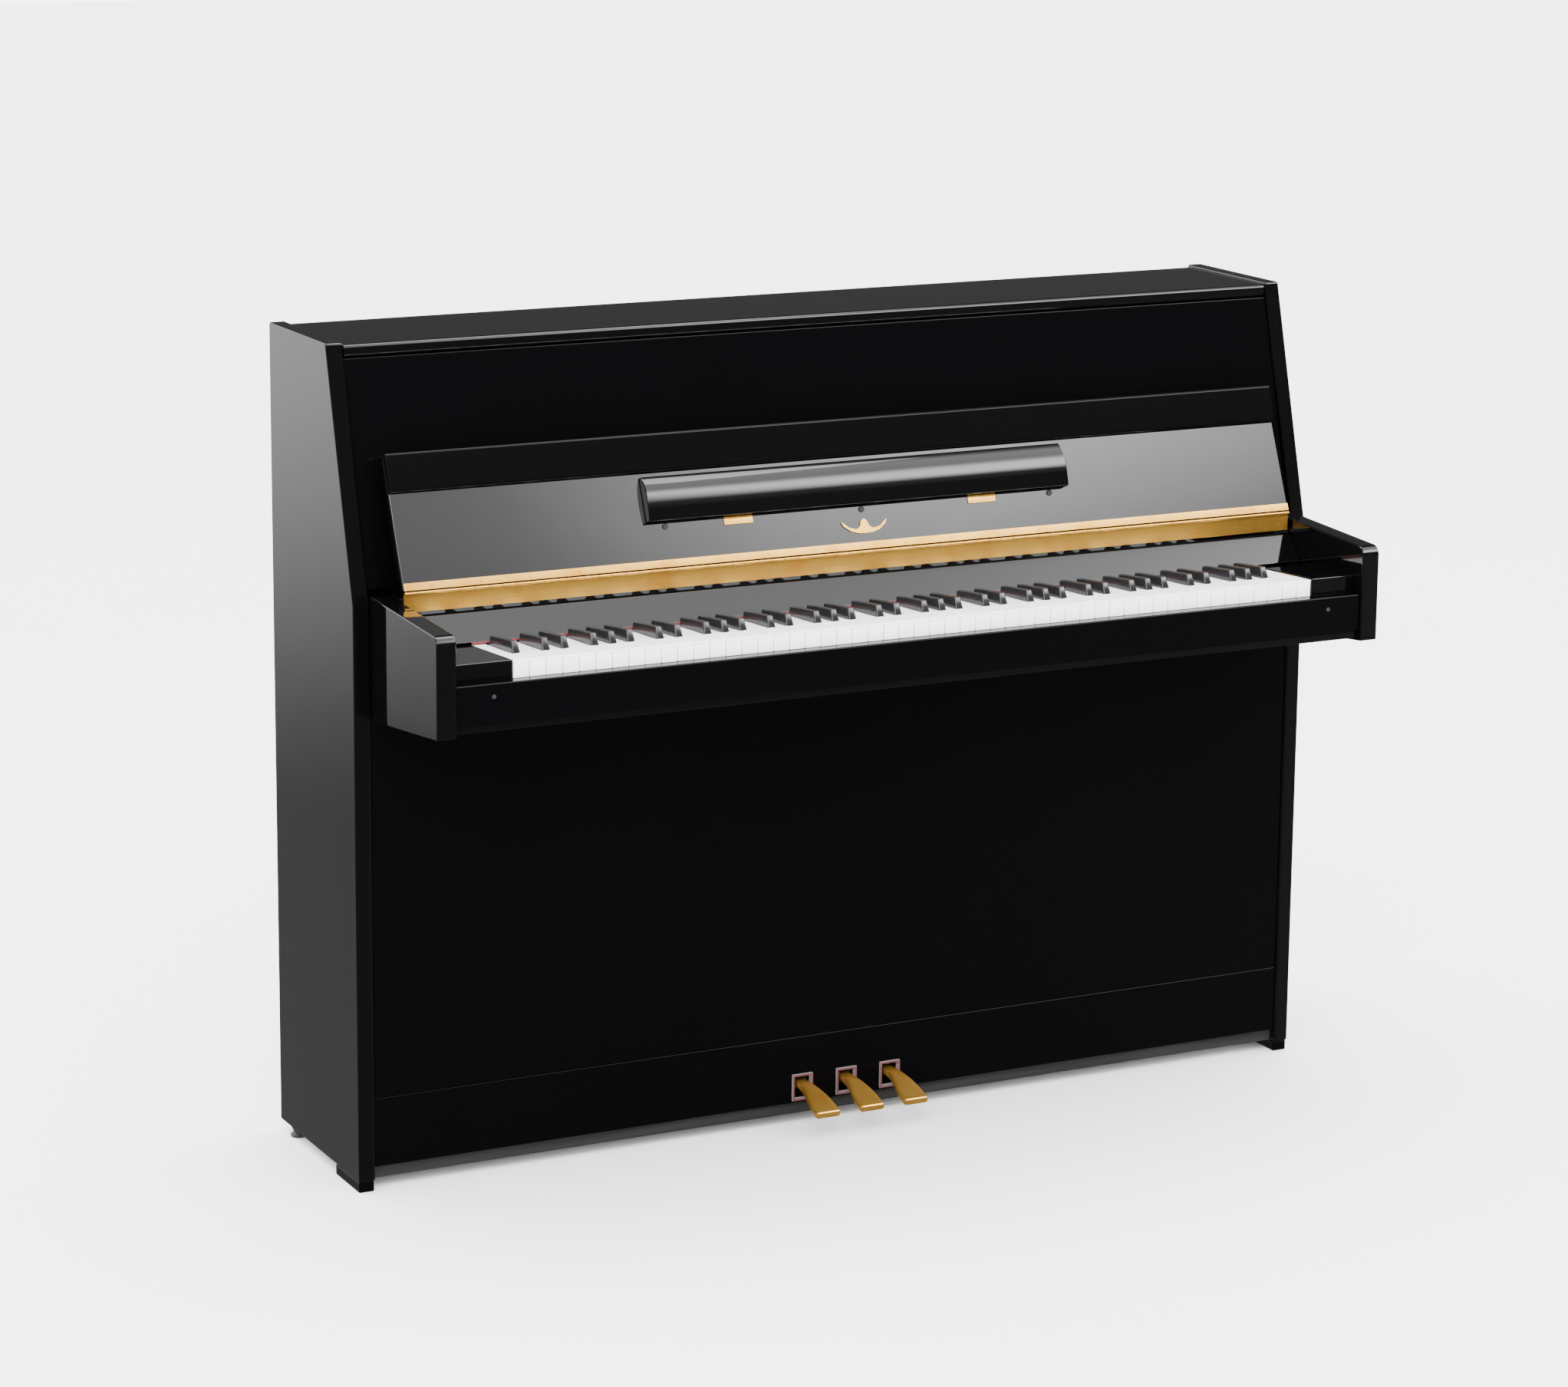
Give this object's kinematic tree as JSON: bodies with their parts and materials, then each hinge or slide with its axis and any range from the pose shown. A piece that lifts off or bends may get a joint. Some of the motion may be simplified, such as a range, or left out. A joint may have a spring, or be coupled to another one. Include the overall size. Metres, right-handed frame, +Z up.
{
  "type": "upright piano",
  "caption": "Console upright piano in black polish with an opening fallboard, folding music rest, hinged lid, sprung keys and brass pedals.",
  "frame": {"origin": "on the floor under the middle of the case", "axes": "+X from bass to treble, the longest way; +Y from the player towards the back, the shortest way; +Z up"},
  "size_m": [1.49, 0.53, 1.15],
  "materials": {
    "ebony_polish": "gloss",
    "ebony_lid": "gloss",
    "ebony_inner": "gloss",
    "brass_polish": "polished",
    "brass_pedal": "polished",
    "key_white": "gloss",
    "key_black": "satin",
    "felt_crimson": "matte",
    "felt_maroon": "matte",
    "felt_hammer": "matte",
    "wood_frame": "matte",
    "wood_action": "satin",
    "wood_soundboard": "satin",
    "iron_bronze": "satin",
    "string_steel": "satin",
    "glide_steel": "satin"
  },
  "bodies": {
    "case": {"side_left": "ebony_polish", "side_right": "ebony_polish", "arm_left": "ebony_polish", "arm_right": "ebony_polish", "foot_left": "ebony_polish", "foot_right": "ebony_polish", "upper_panel": "ebony_polish", "knee_panel": "ebony_polish", "toe_rail": "ebony_polish", "key_slip": "ebony_polish", "key_block_left": "ebony_polish", "key_block_right": "ebony_polish", "name_board": "ebony_polish", "bottom_board": "ebony_inner", "keybed": "ebony_inner", "hinge_rail": "ebony_inner", "hinge_lower": "brass_polish", "lid_hinge": "brass_polish", "pedal_felt_left": "felt_maroon", "pedal_felt_middle": "felt_maroon", "pedal_felt_right": "felt_maroon", "name_felt": "felt_crimson", "hammers": "felt_hammer", "pedal_rail": "wood_frame", "back_frame": "wood_frame", "key_frame": "wood_action", "action_rail": "wood_action", "soundboard": "wood_soundboard", "plate": "iron_bronze", "strings": "string_steel", "glide_left": "glide_steel", "glide_right": "glide_steel"},
    "lid": {"lid": "ebony_lid"},
    "fallboard": {"fallboard": "ebony_polish", "hinge_upper": "brass_polish", "rest_hinge_left": "brass_polish", "rest_hinge_right": "brass_polish", "ornament": "brass_polish"},
    "flap": {"flap": "ebony_polish"},
    "music_rest": {"music_rest": "ebony_polish"},
    "pedal_left": {"pedal_left": "brass_pedal"},
    "pedal_middle": {"pedal_middle": "brass_pedal"},
    "pedal_right": {"pedal_right": "brass_pedal"},
    "whites_low": {"whites_low": "key_white"},
    "sharps_low": {"sharps_low": "key_black"},
    "key_C4": {"key_C4": "key_white"},
    "key_D4": {"key_D4": "key_white"},
    "key_E4": {"key_E4": "key_white"},
    "key_F4": {"key_F4": "key_white"},
    "key_G4": {"key_G4": "key_white"},
    "key_A4": {"key_A4": "key_white"},
    "key_B4": {"key_B4": "key_white"},
    "key_Cs4": {"key_Cs4": "key_black"},
    "key_Ds4": {"key_Ds4": "key_black"},
    "key_Fs4": {"key_Fs4": "key_black"},
    "key_Gs4": {"key_Gs4": "key_black"},
    "key_As4": {"key_As4": "key_black"},
    "whites_high": {"whites_high": "key_white"},
    "sharps_high": {"sharps_high": "key_black"}
  },
  "joints": [
    {"name": "fallboard_hinge", "type": "hinge", "parent": "case", "child": "fallboard", "pos_m": [0, -0.079, 0.8325], "axis": [1, 0, 0], "range_deg": [0, 117.5]},
    {"name": "flap_hinge", "type": "hinge", "parent": "fallboard", "child": "flap", "pos_m": [0, -0.00667, 1.00711], "axis": [-1, 0, 0], "range_deg": [0, 90]},
    {"name": "music_rest_hinge", "type": "hinge", "parent": "fallboard", "child": "music_rest", "pos_m": [0, -0.05531, 0.89283], "axis": [-1, 0, 0], "range_deg": [-90, 0]},
    {"name": "lid_hinge", "type": "hinge", "parent": "case", "child": "lid", "pos_m": [0, 0.2605, 1.1285], "axis": [-1, 0, 0], "range_deg": [0, 100]},
    {"name": "pedal_left_pivot", "type": "hinge", "parent": "case", "child": "pedal_left", "pos_m": [-0.071, 0.03, 0.06], "axis": [1, 0, 0], "range_deg": [0, 6], "stiffness_Nm_per_rad": 15, "springref_deg": -11.46},
    {"name": "pedal_middle_pivot", "type": "hinge", "parent": "case", "child": "pedal_middle", "pos_m": [-0.001, 0.03, 0.06], "axis": [1, 0, 0], "range_deg": [0, 6], "stiffness_Nm_per_rad": 15, "springref_deg": -11.46},
    {"name": "pedal_right_pivot", "type": "hinge", "parent": "case", "child": "pedal_right", "pos_m": [0.069, 0.03, 0.06], "axis": [1, 0, 0], "range_deg": [0, 6], "stiffness_Nm_per_rad": 15, "springref_deg": -11.46},
    {"name": "whites_low_balance", "type": "hinge", "parent": "case", "child": "whites_low", "pos_m": [-0.3336, -0.02, 0.745], "axis": [1, 0, 0], "range_deg": [0, 2.5], "stiffness_Nm_per_rad": 24, "springref_deg": -14.32},
    {"name": "sharps_low_balance", "type": "hinge", "parent": "case", "child": "sharps_low", "pos_m": [-0.3336, -0.02, 0.745], "axis": [1, 0, 0], "range_deg": [0, 2.5], "stiffness_Nm_per_rad": 12, "springref_deg": -14.32},
    {"name": "key_C4_balance", "type": "hinge", "parent": "case", "child": "key_C4", "pos_m": [-0.0504, -0.02, 0.745], "axis": [1, 0, 0], "range_deg": [0, 2.5], "stiffness_Nm_per_rad": 1, "springref_deg": -14.32},
    {"name": "key_Cs4_balance", "type": "hinge", "parent": "case", "child": "key_Cs4", "pos_m": [-0.0405, -0.02, 0.745], "axis": [1, 0, 0], "range_deg": [0, 2.5], "stiffness_Nm_per_rad": 0.7, "springref_deg": -14.32},
    {"name": "key_D4_balance", "type": "hinge", "parent": "case", "child": "key_D4", "pos_m": [-0.0268, -0.02, 0.745], "axis": [1, 0, 0], "range_deg": [0, 2.5], "stiffness_Nm_per_rad": 1, "springref_deg": -14.32},
    {"name": "key_Ds4_balance", "type": "hinge", "parent": "case", "child": "key_Ds4", "pos_m": [-0.0131, -0.02, 0.745], "axis": [1, 0, 0], "range_deg": [0, 2.5], "stiffness_Nm_per_rad": 0.7, "springref_deg": -14.32},
    {"name": "key_E4_balance", "type": "hinge", "parent": "case", "child": "key_E4", "pos_m": [-0.0032, -0.02, 0.745], "axis": [1, 0, 0], "range_deg": [0, 2.5], "stiffness_Nm_per_rad": 1, "springref_deg": -14.32},
    {"name": "key_F4_balance", "type": "hinge", "parent": "case", "child": "key_F4", "pos_m": [0.0204, -0.02, 0.745], "axis": [1, 0, 0], "range_deg": [0, 2.5], "stiffness_Nm_per_rad": 1, "springref_deg": -14.32},
    {"name": "key_Fs4_balance", "type": "hinge", "parent": "case", "child": "key_Fs4", "pos_m": [0.0296, -0.02, 0.745], "axis": [1, 0, 0], "range_deg": [0, 2.5], "stiffness_Nm_per_rad": 0.7, "springref_deg": -14.32},
    {"name": "key_G4_balance", "type": "hinge", "parent": "case", "child": "key_G4", "pos_m": [0.044, -0.02, 0.745], "axis": [1, 0, 0], "range_deg": [0, 2.5], "stiffness_Nm_per_rad": 1, "springref_deg": -14.32},
    {"name": "key_Gs4_balance", "type": "hinge", "parent": "case", "child": "key_Gs4", "pos_m": [0.0558, -0.02, 0.745], "axis": [1, 0, 0], "range_deg": [0, 2.5], "stiffness_Nm_per_rad": 0.7, "springref_deg": -14.32},
    {"name": "key_A4_balance", "type": "hinge", "parent": "case", "child": "key_A4", "pos_m": [0.0676, -0.02, 0.745], "axis": [1, 0, 0], "range_deg": [0, 2.5], "stiffness_Nm_per_rad": 1, "springref_deg": -14.32},
    {"name": "key_As4_balance", "type": "hinge", "parent": "case", "child": "key_As4", "pos_m": [0.082, -0.02, 0.745], "axis": [1, 0, 0], "range_deg": [0, 2.5], "stiffness_Nm_per_rad": 0.7, "springref_deg": -14.32},
    {"name": "key_B4_balance", "type": "hinge", "parent": "case", "child": "key_B4", "pos_m": [0.0912, -0.02, 0.745], "axis": [1, 0, 0], "range_deg": [0, 2.5], "stiffness_Nm_per_rad": 1, "springref_deg": -14.32},
    {"name": "whites_high_balance", "type": "hinge", "parent": "case", "child": "whites_high", "pos_m": [0.3626, -0.02, 0.745], "axis": [1, 0, 0], "range_deg": [0, 2.5], "stiffness_Nm_per_rad": 24, "springref_deg": -14.32},
    {"name": "sharps_high_balance", "type": "hinge", "parent": "case", "child": "sharps_high", "pos_m": [0.3626, -0.02, 0.745], "axis": [1, 0, 0], "range_deg": [0, 2.5], "stiffness_Nm_per_rad": 12, "springref_deg": -14.32}
  ]
}
